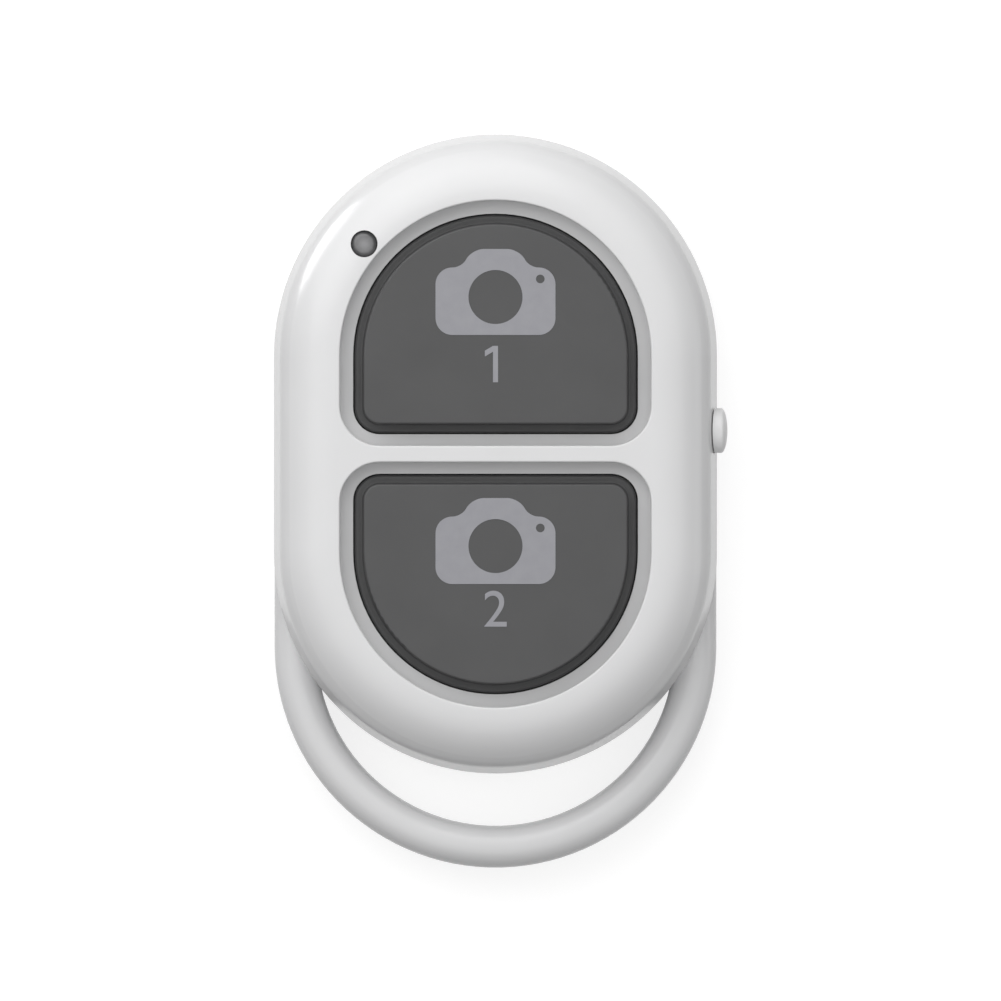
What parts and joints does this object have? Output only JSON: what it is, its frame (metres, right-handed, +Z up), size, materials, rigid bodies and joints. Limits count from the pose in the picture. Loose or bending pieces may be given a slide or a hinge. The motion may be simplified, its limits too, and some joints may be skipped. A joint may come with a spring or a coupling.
{
  "type": "bluetooth camera shutter remote",
  "caption": "Pill-shaped wireless shutter remote with D-shaped press buttons, a status light, a side power slider, a sliding battery door and a moulded carrying loop.",
  "frame": {"origin": "on the resting surface under the back, at the centre of the footprint, midway between the loop's end and the light end", "axes": "+Z up through the buttons, +Y from the carrying loop to the light end, +X to the side with the power switch"},
  "size_m": [0.0324, 0.0524, 0.0115],
  "materials": {
    "case_white": "moulded white, satin with a fine grain",
    "button_grey": "moulded dark grey, smooth satin",
    "knob_white": "moulded white, satin",
    "light_lens": "clear smoky plastic",
    "board_green": "green lacquer over glass fibre",
    "copper_trace": "gold-plated copper",
    "chip_black": "moulded black epoxy",
    "tinned_metal": "tinned",
    "spring_steel": "bright rolled sheet",
    "gold_contact": "gold-plated",
    "switch_black": "moulded black",
    "ceramic_tan": "fired, unglazed",
    "led_body": "white moulding with a clear cap",
    "cell_steel": "nickel-plated",
    "cell_seal": "moulded polypropylene",
    "screw_steel": "zinc-plated"
  },
  "bodies": {
    "housing": {"front_shell": "case_white", "back_shell": "case_white", "light_pipe": "light_lens", "light_emitter": "led_body", "circuit_board": "board_green", "antenna_trace": "copper_trace", "radio_chip": "chip_black", "memory_chip": "chip_black", "crystal": "tinned_metal", "capacitors": "ceramic_tan", "resistors": "chip_black", "press_switch_feet": "tinned_metal", "power_switch_can": "spring_steel", "power_switch_base": "switch_black", "power_switch_legs": "tinned_metal", "battery_can": "cell_steel", "battery_seal": "cell_seal", "battery_cap": "cell_steel", "negative_contact": "spring_steel", "positive_contact": "spring_steel", "case_screws": "screw_steel", "upper_switch_base": "switch_black", "upper_switch_cover": "spring_steel", "upper_snap_dome": "spring_steel", "lower_switch_base": "switch_black", "lower_switch_cover": "spring_steel", "lower_snap_dome": "spring_steel"},
    "upper_button": {"upper_button": "button_grey", "upper_plunger": "switch_black"},
    "lower_button": {"lower_button": "button_grey", "lower_plunger": "switch_black"},
    "power_slider": {"power_knob": "knob_white", "power_switch_slider": "switch_black", "power_switch_wiper": "gold_contact"},
    "battery_door": {"battery_door": "case_white"}
  },
  "joints": [
    {"name": "upper_button_press", "type": "slide", "parent": "housing", "child": "upper_button", "axis": [0, 0, -1], "range_m": [0, 0.0003], "stiffness_N_per_m": 5000, "deforming": ["upper_snap_dome"]},
    {"name": "lower_button_press", "type": "slide", "parent": "housing", "child": "lower_button", "axis": [0, 0, -1], "range_m": [0, 0.0003], "stiffness_N_per_m": 5000, "deforming": ["lower_snap_dome"]},
    {"name": "power_slide", "type": "slide", "parent": "housing", "child": "power_slider", "axis": [0, 1, 0], "range_m": [-0.0015, 0]},
    {"name": "battery_door_slide", "type": "slide", "parent": "housing", "child": "battery_door", "axis": [0, 1, 0], "range_m": [0, 0.03]}
  ]
}
